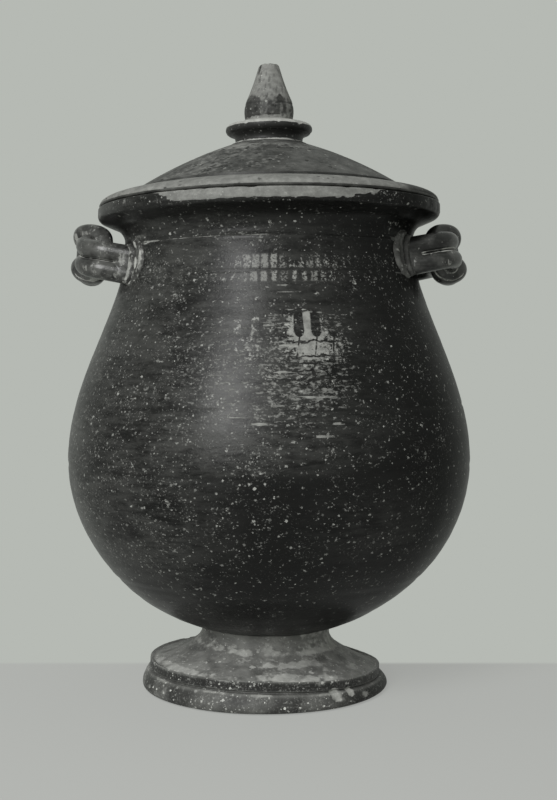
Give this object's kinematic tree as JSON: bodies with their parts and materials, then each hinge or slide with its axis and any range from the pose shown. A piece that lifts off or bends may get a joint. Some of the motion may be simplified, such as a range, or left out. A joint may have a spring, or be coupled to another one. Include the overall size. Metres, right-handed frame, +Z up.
{
  "type": "lidded jar",
  "caption": "Footed pear-shaped ceramic jar with a domed lift-off lid, a reel and finial knob, and horizontal handles knotted from doubled clay rolls.",
  "frame": {"origin": "centre of the foot ring on the resting plane", "axes": "+Z up along the axis of the jar, +X towards the viewer's right handle, +Y to the back"},
  "size_m": [0.2108, 0.2108, 0.3273],
  "materials": {
    "body_slip": "black gloss slip, speckled and scuffed",
    "foot_slip": "black gloss slip worn to grey, with pale encrustation",
    "lid_slip": "pitted grey slip with pale worn edge",
    "reel_slip": "black gloss slip with chips",
    "finial_clay": "bare clay with streaks of worn slip",
    "handle_slip": "black gloss slip, pale along the creases",
    "plate_slip": "black gloss slip rubbed pale on the ridges"
  },
  "bodies": {
    "vessel": {"jar_body": "body_slip", "foot": "foot_slip", "right_front_loop": "handle_slip", "right_rear_loop": "handle_slip", "left_front_loop": "handle_slip", "left_rear_loop": "handle_slip", "right_front_plate": "plate_slip", "right_rear_plate": "plate_slip", "left_front_plate": "plate_slip", "left_rear_plate": "plate_slip"},
    "lid": {"lid_dome": "lid_slip", "lid_reel": "reel_slip", "lid_finial": "finial_clay"}
  },
  "joints": [
    {"name": "lid_lift", "type": "slide", "parent": "vessel", "child": "lid", "axis": [0, 0, 1], "range_m": [0, 0.15]}
  ]
}
